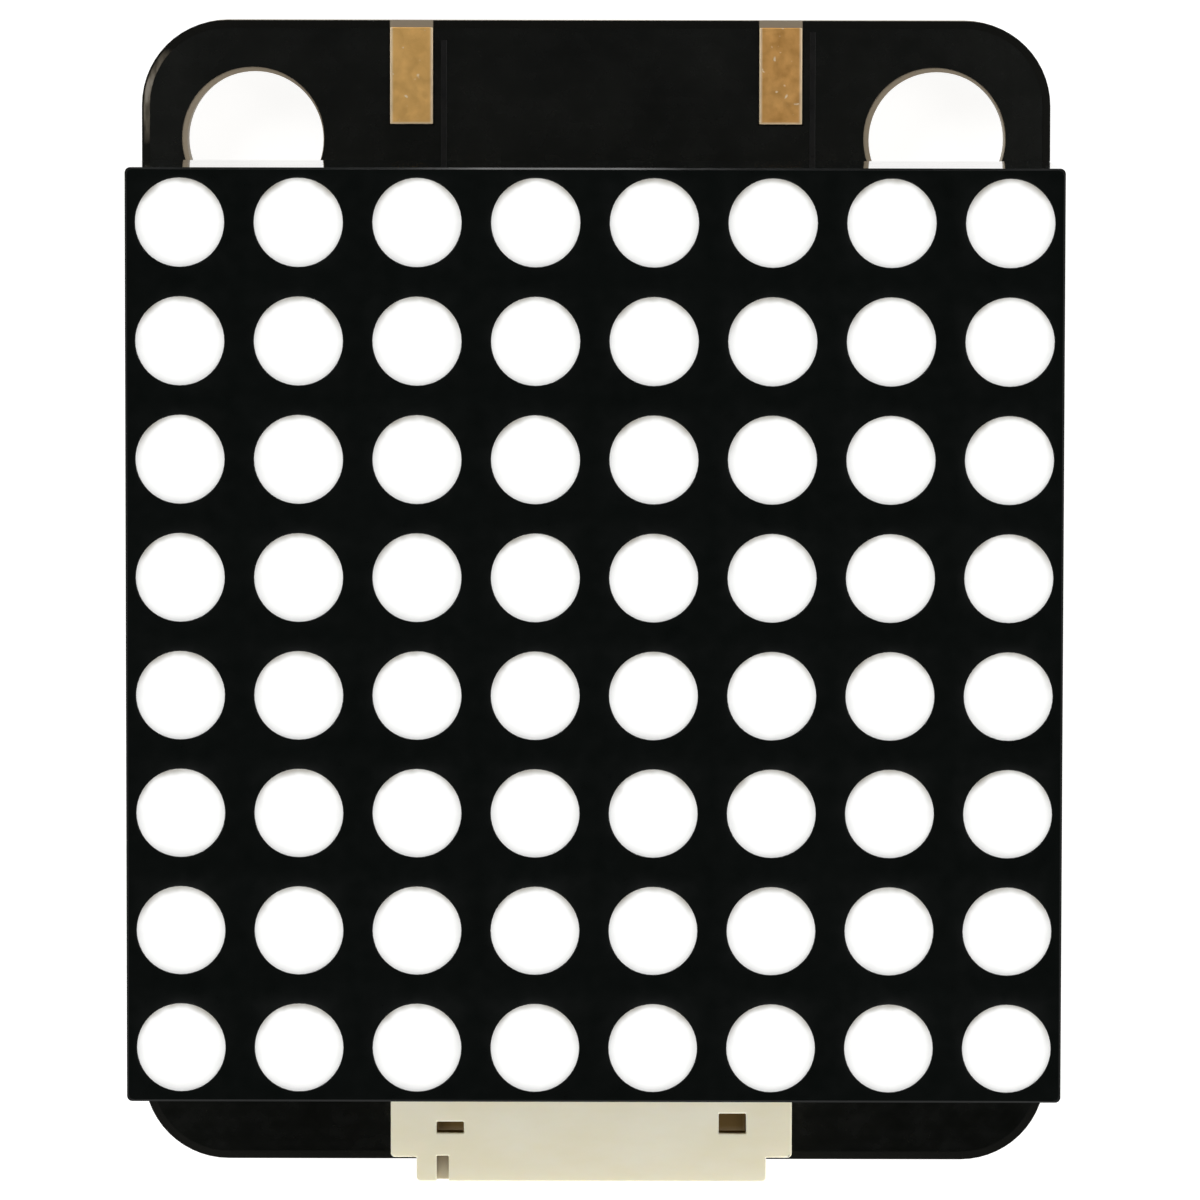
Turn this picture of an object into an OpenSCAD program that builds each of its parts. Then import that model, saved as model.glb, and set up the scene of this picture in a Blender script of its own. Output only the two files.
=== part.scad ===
// LED dot matrix module: an 8 x 8 display soldered above a small carrier board,
// with its driver chip under it and a side-entry wire header at one edge.
// Units are millimetres. The board lies flat: +Z leaves the lit face, +Y points to
// the edge with the two mounting holes, and the pin tips stand on z = 0 round the
// centre of the board.

/* [Display] */
// Distance from one dot to the next, both ways
dot_pitch = 4; // [3.8:0.05:4.3]
// Diameter of a dot at the face
dot_d = 3; // [2.6:0.05:3.3]
// Diameter of a dot's funnel at the die board
funnel_floor_d = 1.8; // [1.2:0.1:2.4]
// Depth of the straight collar at the top of each funnel
funnel_collar = 0.5; // [0.2:0.1:1.5]
// How far the resin lies below the face
resin_recess = 0.05; // [0.02:0.01:0.3]
// How much narrower the shell is than its grid of dots, so that displays tile
tile_gap = 0.3; // [0.1:0.05:0.6]
// Height of the display shell
shell_h = 8; // [7:0.25:12]
// Thickness of the skirt round the shell's rear pocket
shell_wall = 0.9; // [0.6:0.05:1.3]
// Radius of the shell's upright corners
shell_corner_r = 0.25; // [0.1:0.05:0.8]
// Bevel round the edge of the face
face_bevel = 0.1; // [0.05:0.05:0.3]
// How far the display's centre lies below the board's centre
display_drop = 0.4; // [0:0.05:1]

/* [Die board and seal] */
// Thickness of the board that carries the dies
die_board_t = 1; // [0.6:0.1:1.6]
// Gap between the die board and the skirt
die_board_gap = 0.1; // [0.05:0.05:0.3]
// Thickness of the resin seal behind the die board
seal_t = 1.3; // [0.8:0.1:2]
// How far the seal lies inside the rim of the skirt
seal_recess = 0.3; // [0.1:0.05:0.8]
// Side of a light-emitting die
die_side = 0.35; // [0.2:0.05:0.6]
// Height of a die
die_h = 0.2; // [0.1:0.05:0.3]
// Diameter of the four pegs that locate the die board
peg_d = 1.2; // [0.8:0.1:1.4]
// How far a peg stands through the die board
peg_stand = 0.4; // [0.2:0.05:0.6]
// Gap between a peg and its hole in the die board
peg_gap = 0.05; // [0.02:0.01:0.15]

/* [Display pins] */
// Diameter of a display pin
pin_d = 0.5; // [0.4:0.05:0.6]
// Length of the bevel at a pin's tip
pin_tip = 0.15; // [0.05:0.05:0.15]
// Distance between neighbouring pins in a row
pin_pitch = 2.54; // [2:0.01:2.8]
// Distance between the two rows of pins
pin_row_spacing = 24; // [22.5:0.1:25]
// Length of pin that stands out of the board's back
pin_stand = 0.8; // [0.7:0.05:1.5]
// Gap between a pin and its plated hole
pin_hole_gap = 0.2; // [0.1:0.05:0.35]
// Diameter of a solder fillet at the board
solder_d = 1.8; // [1.4:0.1:2.1]
// Height of a solder fillet along the pin
solder_h = 0.5; // [0.3:0.05:0.55]

/* [Carrier board] */
// Width of the board
board_w = 32; // [30:0.5:60]
// Length of the board
board_l = 40.4; // [39:0.1:80]
// Thickness of the board
board_t = 1.6; // [0.8:0.1:2.4]
// Radius of the board's corners
board_corner_r = 3; // [0.5:0.25:3.5]
// Diameter of a mounting hole
mount_hole_d = 4.8; // [3:0.1:5.4]
// Distance between the two mounting holes
mount_hole_spacing = 24; // [18:0.5:24]
// Distance from the board's top edge to the middle of a mounting hole
mount_hole_inset = 4.2; // [3.5:0.1:4.5]
// Width of a gold edge pad
pad_w = 1.5; // [1:0.1:2.5]
// Length of a gold edge pad
pad_l = 3.4; // [2:0.1:4.5]
// How far the edge pads stay back from the board's top edge
pad_inset = 0.25; // [0:0.05:0.5]
// Thickness of a gold edge pad
pad_t = 0.07; // [0.05:0.01:0.15]
// Distance between the middles of the two edge pads
pad_spacing = 13; // [8:0.1:14]

/* [Wire header] */
// Number of contacts
contact_count = 4; // [2:1:5]
// Distance between neighbouring contacts
contact_pitch = 2; // [1.5:0.05:2.2]
// Side of the square contact wire
contact_side = 0.5; // [0.4:0.05:0.6]
// Height of the contacts above the board
contact_z = 2.7; // [2.2:0.1:3.2]
// Distance from the mouth to the contact tips
contact_setback = 0.7; // [0.4:0.1:2]
// Length of a contact's foot on the board
contact_foot = 1.5; // [1:0.1:2]
// Radius of the contact's bends, at the middle of the wire
contact_bend_r = 0.5; // [0.35:0.05:0.6]
// Height of the header
header_h = 5.5; // [4.8:0.1:8]
// Depth of the header, from mouth to back
header_l = 7.6; // [6.8:0.1:8.2]
// Thickness of the walls beside the cavity
side_wall_t = 0.7; // [0.5:0.05:1.2]
// Distance from an outer contact's middle to the side of the cavity
end_room = 2.4; // [2.1:0.1:3.5]
// How far a wing stands out from the nose
wing_out = 0.9; // [0.8:0.05:1.5]
// Length of a wing
wing_l = 4.6; // [3.6:0.1:5.5]
// Length of the nose in front of the wings
nose_l = 0.85; // [0.5:0.05:2]
// Radius of the header's upright outer corners
header_corner_r = 0.15; // [0.1:0.05:0.4]
// Thickness of the wall above the cavity
roof_t = 0.8; // [0.6:0.05:1.2]
// Thickness of the wall below the cavity
floor_t = 0.7; // [0.4:0.05:1]
// Thickness of the wall behind the cavity
back_wall_t = 1.8; // [1.4:0.1:2.4]
// Lead-in bevel round the mouth
mouth_bevel = 0.2; // [0.1:0.05:0.4]
// Width of a window in the roof
window_w = 0.95; // [0.6:0.05:1.5]
// Length of the left window
window_left_l = 0.4; // [0.3:0.1:1]
// Length of the right window
window_right_l = 0.7; // [0.3:0.1:1]
// Distance from the mouth to the windows
window_setback = 1.7; // [1.3:0.1:3]
// Width of the notch that marks contact 1, in the roof at the mouth
notch_w = 0.42; // [0.3:0.02:0.8]
// Length of the notch
notch_l = 0.9; // [0.4:0.1:1.1]
// Depth of the notch
notch_depth = 0.5; // [0.1:0.05:0.5]
// Gap between a contact and its comb groove
groove_gap = 0.1; // [0.05:0.05:0.3]
// Gap between the header's roof and the display above it
header_gap = 0.3; // [0.1:0.05:1]
// Sideways place of the header on the board
header_x = -0.1; // [-2:0.1:2]

/* [Solder tabs] */
// Thickness of a solder tab
tab_t = 0.3; // [0.2:0.05:0.35]
// Width of a solder tab
tab_w = 2; // [1.6:0.1:3]
// Height of the upright leg of a solder tab
tab_leg = 2.6; // [1.5:0.1:4]
// How far a tab's foot reaches past the wing
tab_reach = 0.9; // [0.4:0.1:1.4]

/* [Driver chip] */
// Length of the chip's body
chip_l = 17.9; // [17.4:0.1:18.4]
// Width of the chip's body
chip_w = 7.5; // [6:0.1:8]
// Thickness of the chip's body
chip_t = 2.3; // [1.6:0.1:2.5]
// Gap between the chip's body and the board
chip_stand = 0.15; // [0.1:0.05:0.3]
// Draft angle of the moulded bodies
draft = 7; // [3:1:12]
// Number of leads on each side of the chip
chip_leads = 14; // [10:1:14]
// Distance between neighbouring leads
lead_pitch = 1.27; // [1:0.01:1.27]
// Width of a lead
lead_w = 0.42; // [0.3:0.02:0.5]
// Thickness of a lead
lead_t = 0.25; // [0.15:0.05:0.3]
// How far a lead's toe lies outside the body
lead_reach = 1.4; // [1.3:0.05:1.7]
// Length of a lead's foot
lead_foot = 0.8; // [0.6:0.05:0.85]
// How deep a lead sits in the body
lead_root = 0.4; // [0.2:0.1:0.8]
// How far the chip's middle lies above the board's centre
chip_y = 0.9; // [0:0.1:2]

/* [Small parts] */
// Length of a chip resistor and of the bypass capacitor
small_l = 1.6; // [1.2:0.1:2]
// Width of a chip resistor and of the bypass capacitor
small_w = 0.8; // [0.6:0.05:1.2]
// Height of a chip resistor
resistor_h = 0.45; // [0.35:0.05:0.6]
// Height of the bypass capacitor
bypass_h = 0.8; // [0.5:0.05:1.2]
// Length of the plated ends
end_l = 0.35; // [0.2:0.05:0.5]
// Thickness of the plated ends
end_t = 0.04; // [0.02:0.01:0.08]
// Distance between the two pull-up resistors
resistor_spacing = 3; // [2.2:0.1:5]
// Distance from the board's middle to the bulk and bypass capacitors
capacitor_x = 5.5; // [4:0.1:6]
// Gap between the chip's toes and the capacitors
capacitor_gap = 1.2; // [0.6:0.1:2]
// Length of the bulk capacitor's body
bulk_l = 3.5; // [2.8:0.1:4]
// Width of the bulk capacitor's body
bulk_w = 2.8; // [2.4:0.1:3.2]
// Height of the bulk capacitor above the board
bulk_h = 1.9; // [1.4:0.1:2.2]
// Thickness of the bulk capacitor's strips
strip_t = 0.15; // [0.1:0.05:0.2]
// Width of the bulk capacitor's strips
strip_w = 2.2; // [1.4:0.1:2.3]
// Length of the bulk capacitor's strips under its body
strip_foot = 0.8; // [0.5:0.1:1]

/* [Hidden] */

DOTS = 8;           // dots along each side of the display
ROW_PINS = 8;       // pins in each row
BEND_STEPS = 6;     // flats in one bend of a strip
CUT = 1;            // how far a cutter reaches past what it cuts
ROUND = 48;         // segments of the large round forms
SMALL_ROUND = 24;   // segments of the small round forms

// Heights, from the pin tips up
board_back_z = pin_stand;
board_front_z = board_back_z + board_t;
shell_rim_z = board_front_z + header_h + header_gap;
face_z = shell_rim_z + shell_h;
pocket_depth = seal_recess + seal_t + die_board_t;
pocket_floor_z = shell_rim_z + pocket_depth;

// Display
shell_w = DOTS * dot_pitch - tile_gap;
pocket_w = shell_w - 2 * shell_wall;
die_board_w = pocket_w - 2 * die_board_gap;
display_y = -display_drop;
peg_at = 3 * dot_pitch;

// Carrier board
board_top_y = board_l / 2;
mount_hole_y = board_top_y - mount_hole_inset;
pin_hole_d = pin_d + 2 * pin_hole_gap;

// Wire header, in its own frame: mouth at y = 0, back at y = header_l, board at z = 0
header_y = -board_l / 2;
cavity_w = (contact_count - 1) * contact_pitch + 2 * end_room;
cavity_l = header_l - back_wall_t;
nose_w = cavity_w + 2 * side_wall_t;
wing_span = nose_w + 2 * wing_out;
groove_w = contact_side + 2 * groove_gap;
groove_l = contact_bend_r + contact_side / 2 + groove_gap;
drop_y = header_l - contact_side / 2;
contact_end_y = drop_y + contact_bend_r + contact_foot;
tab_x = nose_w / 2 + wing_out / 2;
tab_y = nose_l + wing_l / 2;

// Driver chip and small parts
lead_z = chip_stand + chip_t / 2;
toe_y = chip_w / 2 + lead_reach;
resistor_y = (header_y + contact_end_y + chip_y - toe_y) / 2;
capacitor_y = chip_y + toe_y + capacitor_gap;

// Copies children to both sides of the YZ plane
module both_sides() {
    children();
    mirror([1, 0, 0]) children();
}

// Moves children to every dot of row r, counted from the top
module at_row(r) {
    middle = (DOTS + 1) / 2;
    for (column = [1:DOTS])
        translate([(column - middle) * dot_pitch, display_y + (middle - r) * dot_pitch, 0]) children();
}

// Moves children to every dot
module at_dots() {
    for (r = [1:DOTS]) at_row(r) children();
}

// Moves children to the pins of one row; side is -1 for left and 1 for right
module at_pins(side) {
    for (i = [1:ROW_PINS])
        translate([side * pin_row_spacing / 2, display_y + (i - (ROW_PINS + 1) / 2) * pin_pitch, 0])
            children();
}

// Moves children to the four locating pegs
module at_pegs() {
    for (x = [-1, 1], y = [-1, 1])
        translate([x * peg_at, display_y + y * peg_at, 0]) children();
}

// Rectangle w by l with round corners, centred
module round_rect(w, l, r) {
    square([w - 2 * r, l], center = true);
    square([w, l - 2 * r], center = true);
    for (x = [-1, 1], y = [-1, 1])
        translate([x * (w / 2 - r), y * (l / 2 - r)]) circle(r, $fn = ROUND);
}

// Stands a flat drawing up: its x runs along +Y, its y along +Z, and w along X
module stand_along_y(w) {
    rotate([90, 0, 90]) linear_extrude(w, center = true) children();
}

// Stands a flat drawing up: its x runs along +X, its y along +Z, and w along Y
module stand_along_x(w) {
    rotate([90, 0, 0]) linear_extrude(w, center = true) children();
}

// Side of a moulded body w wide and t thick from height z up: widest at mid height
module moulded_side(w, z, t) {
    lean = t / 2 * tan(draft);
    polygon([[lean - w / 2, z], [w / 2 - lean, z], [w / 2, z + t / 2],
        [w / 2 - lean, z + t], [lean - w / 2, z + t], [-w / 2, z + t / 2]]);
}

// Moulded body with its length l along X and its width w along Y
module moulded_body(l, w, z, t) {
    intersection() {
        stand_along_y(l) moulded_side(w, z, t);
        stand_along_x(w) moulded_side(l, z, t);
    }
}

function unit(v) = v / norm(v);
function left_of(v) = [-v.y, v.x];
function turned(v, a) = [v.x * cos(a) - v.y * sin(a), v.x * sin(a) + v.y * cos(a)];
function reversed(v) = [for (i = [len(v) - 1:-1:0]) v[i]];

// Points round bend i of path p, at offset e to the left of a centre line of radius r
function bend_points(p, i, r, e) =
    let (way_in = unit(p[i] - p[i - 1]), way_out = unit(p[i + 1] - p[i]))
    let (swing = atan2(cross(way_in, way_out), way_in * way_out), side = sign(swing))
    let (centre = p[i] - way_in * r * tan(abs(swing) / 2) + left_of(way_in) * side * r)
    [for (k = [0:BEND_STEPS]) centre - (side * r - e) * turned(left_of(way_in), swing * k / BEND_STEPS)];

// One edge of a bent strip, at offset e to the left of its path
function strip_edge(p, r, e) =
    let (last = len(p) - 1)
    concat([p[0] + left_of(unit(p[1] - p[0])) * e],
        [for (i = [1:last - 1]) each bend_points(p, i, r, e)],
        [p[last] + left_of(unit(p[last] - p[last - 1])) * e]);

// Strip of thickness t bent along path p, with radius r at the middle of each bend
module bent_strip(p, t, r) {
    polygon(concat(strip_edge(p, r, t / 2), reversed(strip_edge(p, r, -t / 2))));
}

// ---- Carrier board ----

module carrier_board() {
    color("#181a1a") difference() {
        translate([0, 0, board_back_z])
            linear_extrude(board_t) round_rect(board_w, board_l, board_corner_r);
        both_sides() translate([mount_hole_spacing / 2, mount_hole_y, board_back_z - CUT])
            cylinder(d = mount_hole_d, h = board_t + 2 * CUT, $fn = ROUND);
        for (side = [-1, 1]) at_pins(side) translate([0, 0, board_back_z - CUT])
            cylinder(d = pin_hole_d, h = board_t + 2 * CUT, $fn = SMALL_ROUND);
    }
}

// Plated pad near the board's top edge; side is -1 for left and 1 for right
module edge_pad(side) {
    color("#c09456")
        translate([side * pad_spacing / 2 - pad_w / 2, board_top_y - pad_inset - pad_l, board_front_z])
            cube([pad_w, pad_l, pad_t]);
}

// ---- Display ----

// Funnel of one dot, from the pocket's floor to height top, with a straight collar
module funnel(top) {
    rotate_extrude($fn = ROUND) polygon([[0, pocket_floor_z], [funnel_floor_d / 2, pocket_floor_z],
        [dot_d / 2, face_z - funnel_collar], [dot_d / 2, top], [0, top]]);
}

// Cutter of one funnel, which also reaches down into the pocket
module funnel_cutter() {
    funnel(face_z + CUT);
    translate([0, 0, pocket_floor_z - CUT]) cylinder(d = funnel_floor_d, h = 2 * CUT, $fn = ROUND);
}

// Side of the shell, with the bevel at the face
module shell_side() {
    half = shell_w / 2;
    polygon([[-half, shell_rim_z], [half, shell_rim_z], [half, face_z - face_bevel],
        [half - face_bevel, face_z], [face_bevel - half, face_z], [-half, face_z - face_bevel]]);
}

// Moulded shell: 64 funnels open at the face, a pocket behind them for the die board,
// and four pegs that locate it
module reflector_shell() {
    color("#141716") {
        difference() {
            translate([0, display_y, 0]) intersection() {
                stand_along_y(shell_w) shell_side();
                stand_along_x(shell_w) shell_side();
                translate([0, 0, shell_rim_z])
                    linear_extrude(shell_h) round_rect(shell_w, shell_w, shell_corner_r);
            }
            translate([-pocket_w / 2, display_y - pocket_w / 2, shell_rim_z - CUT])
                cube([pocket_w, pocket_w, pocket_depth + CUT]);
            at_dots() funnel_cutter();
        }
        pegs();
    }
}

// Pegs rooted in the pocket's floor, which locate the die board
module pegs() {
    at_pegs() translate([0, 0, pocket_floor_z - die_board_t - peg_stand])
        cylinder(d = peg_d, h = die_board_t + peg_stand + CUT, $fn = SMALL_ROUND);
}

// Light-emitting die, on the front of the die board
module die() {
    translate([-die_side / 2, -die_side / 2, pocket_floor_z]) cube([die_side, die_side, die_h]);
}

// Cast resin of one row of dots, each over its die
module dot_row(r) {
    color("#f4f4f0") at_row(r) difference() {
        funnel(face_z - resin_recess);
        die();
    }
}

module led_dies() {
    color("#d8b070") at_dots() die();
}

module die_board() {
    color("#d9dccb") difference() {
        translate([-die_board_w / 2, display_y - die_board_w / 2, pocket_floor_z - die_board_t])
            cube([die_board_w, die_board_w, die_board_t]);
        at_pegs() translate([0, 0, pocket_floor_z - die_board_t - CUT])
            cylinder(d = peg_d + 2 * peg_gap, h = die_board_t + 2 * CUT, $fn = SMALL_ROUND);
        for (side = [-1, 1]) at_pins(side) pin();
    }
}

// Resin cast behind the die board, round the pegs and the pins
module back_seal() {
    color("#c9c4b2") difference() {
        translate([-pocket_w / 2, display_y - pocket_w / 2, shell_rim_z + seal_recess])
            cube([pocket_w, pocket_w, seal_t]);
        pegs();
        for (side = [-1, 1]) at_pins(side) pin();
    }
}

// Round pin, from its bevelled tip to the front of the die board
module pin() {
    rotate_extrude($fn = SMALL_ROUND) polygon([[0, 0], [pin_d / 2 - pin_tip, 0],
        [pin_d / 2, pin_tip], [pin_d / 2, pocket_floor_z], [0, pocket_floor_z]]);
}

module pins(side) {
    color("#c8c8c6") at_pins(side) pin();
}

// Solder that fills a plated hole and climbs the pin behind the board in a hollow fillet
module solder_joint() {
    spread = (solder_d - pin_d) / 2;
    rotate_extrude($fn = SMALL_ROUND) polygon(concat(
        [[pin_d / 2, board_front_z]],
        [for (a = [0:15:90]) [pin_d / 2 + spread * (1 - cos(a)), board_back_z - solder_h * (1 - sin(a))]],
        [[pin_hole_d / 2, board_back_z], [pin_hole_d / 2, board_front_z]]));
}

module solder(side) {
    color("#b9bcbf") at_pins(side) solder_joint();
}

// ---- Driver chip ----

// Both rows of gull-wing leads
module lead_rows() {
    heel = toe_y - lead_foot;
    path = [[chip_w / 2 - lead_root, lead_z], [heel - lead_t / 2, lead_z], [heel, lead_t / 2],
        [toe_y, lead_t / 2]];
    for (i = [1:chip_leads], half_turn = [0, 180])
        translate([(i - (chip_leads + 1) / 2) * lead_pitch, 0, 0]) rotate(half_turn)
            stand_along_y(lead_w) bent_strip(path, lead_t, lead_t);
}

module driver_chip() {
    dimple_d = 1.2;
    dimple_depth = 0.1;
    dimple_inset = 1.3;
    color("#1d1d1f") translate([0, chip_y, board_front_z]) difference() {
        moulded_body(chip_l, chip_w, chip_stand, chip_t);
        lead_rows();
        translate([dimple_inset - chip_l / 2, dimple_inset - chip_w / 2,
            chip_stand + chip_t - dimple_depth]) cylinder(d = dimple_d, h = CUT, $fn = SMALL_ROUND);
    }
}

module driver_leads() {
    color("#c5c7c9") translate([0, chip_y, board_front_z]) lead_rows();
}

// ---- Wire header ----

// Moves children from the header's own frame onto the board
module on_header() {
    translate([header_x, header_y, board_front_z]) children();
}

// Moulded housing: a nose and two wings round a mating cavity, with windows and a
// marker notch in the roof, and a comb of grooves at the back
module header_shell() {
    color("#dbd4ba") on_header() difference() {
        linear_extrude(header_h) {
            translate([0, header_l / 2]) round_rect(nose_w, header_l, header_corner_r);
            translate([0, tab_y]) round_rect(wing_span, wing_l, header_corner_r);
        }
        cavity();
        roof_window(-1, window_left_l);
        roof_window(1, window_right_l);
        translate([-cavity_w / 2, -CUT, header_h - notch_depth])
            cube([notch_w, notch_l + CUT, notch_depth + CUT]);
        contact_row();
        comb();
        both_sides() solder_tab();
    }
}

// Mating cavity with a lead-in bevel round its mouth
module cavity() {
    top = header_h - roof_t;
    flare = mouth_bevel + CUT;
    translate([-cavity_w / 2, -CUT, floor_t]) cube([cavity_w, cavity_l + CUT, top - floor_t]);
    intersection() {
        stand_along_y(wing_span) polygon([[-CUT, floor_t - flare], [mouth_bevel, floor_t],
            [mouth_bevel, top], [-CUT, top + flare]]);
        linear_extrude(header_h) polygon([[-cavity_w / 2 - flare, -CUT], [cavity_w / 2 + flare, -CUT],
            [cavity_w / 2, mouth_bevel], [-cavity_w / 2, mouth_bevel]]);
    }
}

// Window through the roof at one end of the cavity
module roof_window(side, l) {
    translate([side * (cavity_w - window_w) / 2 - window_w / 2, window_setback, header_h - roof_t - CUT])
        cube([window_w, l, roof_t + 2 * CUT]);
}

// Moves children to every contact
module at_contacts() {
    for (i = [1:contact_count])
        translate([(i - (contact_count + 1) / 2) * contact_pitch, 0, 0]) children();
}

// Grooves at the back, in which the contacts turn down to the board
module comb() {
    at_contacts() translate([-groove_w / 2, header_l - groove_l, -CUT])
        cube([groove_w, groove_l + CUT, contact_z + contact_side / 2 + groove_gap + CUT]);
}

// Square wire with a bevelled tip, bent down behind the housing and back along the board
module contact() {
    bevel = contact_side / 3;
    tip = contact_side / 2 - bevel;
    shoulder = contact_setback + bevel;
    path = [[shoulder, contact_z], [drop_y, contact_z], [drop_y, contact_side / 2],
        [contact_end_y, contact_side / 2]];
    intersection() {
        stand_along_y(contact_side) polygon(concat(
            [[contact_setback, contact_z + tip]],
            strip_edge(path, contact_bend_r, contact_side / 2),
            reversed(strip_edge(path, contact_bend_r, -contact_side / 2)),
            [[contact_setback, contact_z - tip]]));
        linear_extrude(header_h) polygon([[-tip, contact_setback], [tip, contact_setback],
            [contact_side / 2, shoulder], [contact_side / 2, contact_end_y],
            [-contact_side / 2, contact_end_y], [-contact_side / 2, shoulder]]);
    }
}

module contact_row() {
    at_contacts() contact();
}

module header_contacts() {
    color("#cfcbbd") on_header() contact_row();
}

// Right-hand solder tab: an upright leg in the wing and a foot on the board
module solder_tab() {
    path = [[tab_x, tab_leg], [tab_x, tab_t / 2], [wing_span / 2 + tab_reach, tab_t / 2]];
    translate([0, tab_y, 0]) stand_along_x(tab_w) bent_strip(path, tab_t, tab_t);
}

module header_tab_left() {
    color("#c5c7c9") on_header() mirror([1, 0, 0]) solder_tab();
}

module header_tab_right() {
    color("#c5c7c9") on_header() solder_tab();
}

// ---- Small parts ----

// Ceramic core of a small chip part of height h
module chip_core(h) {
    translate([end_t - small_l / 2, end_t - small_w / 2, end_t])
        cube([small_l - 2 * end_t, small_w - 2 * end_t, h - 2 * end_t]);
}

// Plated caps on both ends of the core
module chip_ends(h) {
    difference() {
        both_sides() translate([small_l / 2 - end_l, -small_w / 2, 0]) cube([end_l, small_w, h]);
        chip_core(h);
    }
}

// Moves children to the two pull-up resistors
module at_resistors() {
    for (side = [-1, 1])
        translate([side * resistor_spacing / 2, resistor_y, board_front_z]) children();
}

module pull_up_resistors() {
    color("#2a2c33") at_resistors() chip_core(resistor_h);
}

module pull_up_ends() {
    color("#c5c7c9") at_resistors() chip_ends(resistor_h);
}

// Moves children to the bypass capacitor
module at_bypass() {
    translate([-capacitor_x, capacitor_y + small_w / 2, board_front_z]) children();
}

module bypass_capacitor() {
    color("#b08a5c") at_bypass() chip_core(bypass_h);
}

module bypass_ends() {
    color("#c5c7c9") at_bypass() chip_ends(bypass_h);
}

// Moves children to the bulk capacitor
module at_bulk() {
    translate([capacitor_x, capacitor_y + bulk_w / 2, board_front_z]) children();
}

// Terminal strips, bent down the ends of the body and under it
module strip_pair() {
    middle_z = (bulk_h + strip_t) / 2;
    outside = bulk_l / 2 + strip_t;
    path = [[bulk_l / 2 - 2 * strip_t, middle_z], [outside, middle_z], [outside, strip_t / 2],
        [outside - strip_foot, strip_t / 2]];
    both_sides() stand_along_x(strip_w) bent_strip(path, strip_t, strip_t);
}

module bulk_capacitor() {
    color("#26241f") at_bulk() difference() {
        moulded_body(bulk_l, bulk_w, strip_t, bulk_h - strip_t);
        strip_pair();
    }
}

module bulk_strips() {
    color("#c5c7c9") at_bulk() strip_pair();
}

carrier_board();
edge_pad(-1);  // edge_pad_left
edge_pad(1);  // edge_pad_right
reflector_shell();
dot_row(1);  // dot_row_1
dot_row(2);  // dot_row_2
dot_row(3);  // dot_row_3
dot_row(4);  // dot_row_4
dot_row(5);  // dot_row_5
dot_row(6);  // dot_row_6
dot_row(7);  // dot_row_7
dot_row(8);  // dot_row_8
led_dies();
die_board();
back_seal();
pins(-1);  // pins_left
pins(1);  // pins_right
solder(-1);  // solder_left
solder(1);  // solder_right
driver_chip();
driver_leads();
header_shell();
header_contacts();
header_tab_left();
header_tab_right();
pull_up_resistors();
pull_up_ends();
bypass_capacitor();
bypass_ends();
bulk_capacitor();
bulk_strips();
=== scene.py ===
"""Looks of the LED dot matrix module, built round its solids.

The display (moulded shell and cast dots), the board with its masks, lands and traces,
the header and the small parts each have their own functions. Lengths in the code are
in millimetres times MM, because Blender works in metres.
"""

import math

import bmesh
import bpy
from mathutils import Matrix, Vector


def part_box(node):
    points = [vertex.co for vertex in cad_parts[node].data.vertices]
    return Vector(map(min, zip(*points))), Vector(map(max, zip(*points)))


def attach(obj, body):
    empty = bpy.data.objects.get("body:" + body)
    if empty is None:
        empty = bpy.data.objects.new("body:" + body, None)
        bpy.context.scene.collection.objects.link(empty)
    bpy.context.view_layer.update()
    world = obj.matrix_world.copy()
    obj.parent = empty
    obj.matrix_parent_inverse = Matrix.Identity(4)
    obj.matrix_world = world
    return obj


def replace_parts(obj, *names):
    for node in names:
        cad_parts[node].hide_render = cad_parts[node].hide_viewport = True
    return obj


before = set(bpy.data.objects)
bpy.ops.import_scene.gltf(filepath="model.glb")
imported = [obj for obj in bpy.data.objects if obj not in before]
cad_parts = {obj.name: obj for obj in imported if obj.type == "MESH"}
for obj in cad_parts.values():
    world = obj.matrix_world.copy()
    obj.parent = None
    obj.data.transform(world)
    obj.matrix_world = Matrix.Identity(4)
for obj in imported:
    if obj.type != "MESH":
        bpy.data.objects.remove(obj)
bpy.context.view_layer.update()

MM = 0.001
MERGE = 1e-6          # points closer than this are one point
NEAR = 1e-5           # places closer than this count as the same

# Display
DOT_PITCH = 4 * MM
DOTS = 8
DOT_R = 1.5 * MM
FUNNEL_R = 0.9 * MM
COLLAR = 0.5 * MM
DOT_SINK = 0.06 * MM      # how far a dot lies below the face
SHELL_CORNER_R = 0.25 * MM
FACE_CHAMFER = 0.07 * MM
RIM_ROUND = 0.035 * MM    # round of the face at a dot
MENISCUS = ((0.03, 0.012), (0.07, 0.012), (0.16, 0.009), (0.34, 0.006), (0.45, 0.003))
# rings of a dot's surface from its wall inwards, each as width and drop in millimetres
SIDE_STEPS = 12           # points along one side of a dot's cell
ROUND_STEPS = 4 * SIDE_STEPS
OUTER_DOT = (DOTS - 1) / 2 * DOT_PITCH    # from the middle of the display to its outer dots
SHELL_LO, SHELL_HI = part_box("reflector_shell")
SHELL_MID = (SHELL_LO + SHELL_HI) / 2
FUNNEL_FLOOR_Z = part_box("die_board")[1].z
POCKET_HALF = (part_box("back_seal")[1].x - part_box("back_seal")[0].x) / 2

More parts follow.
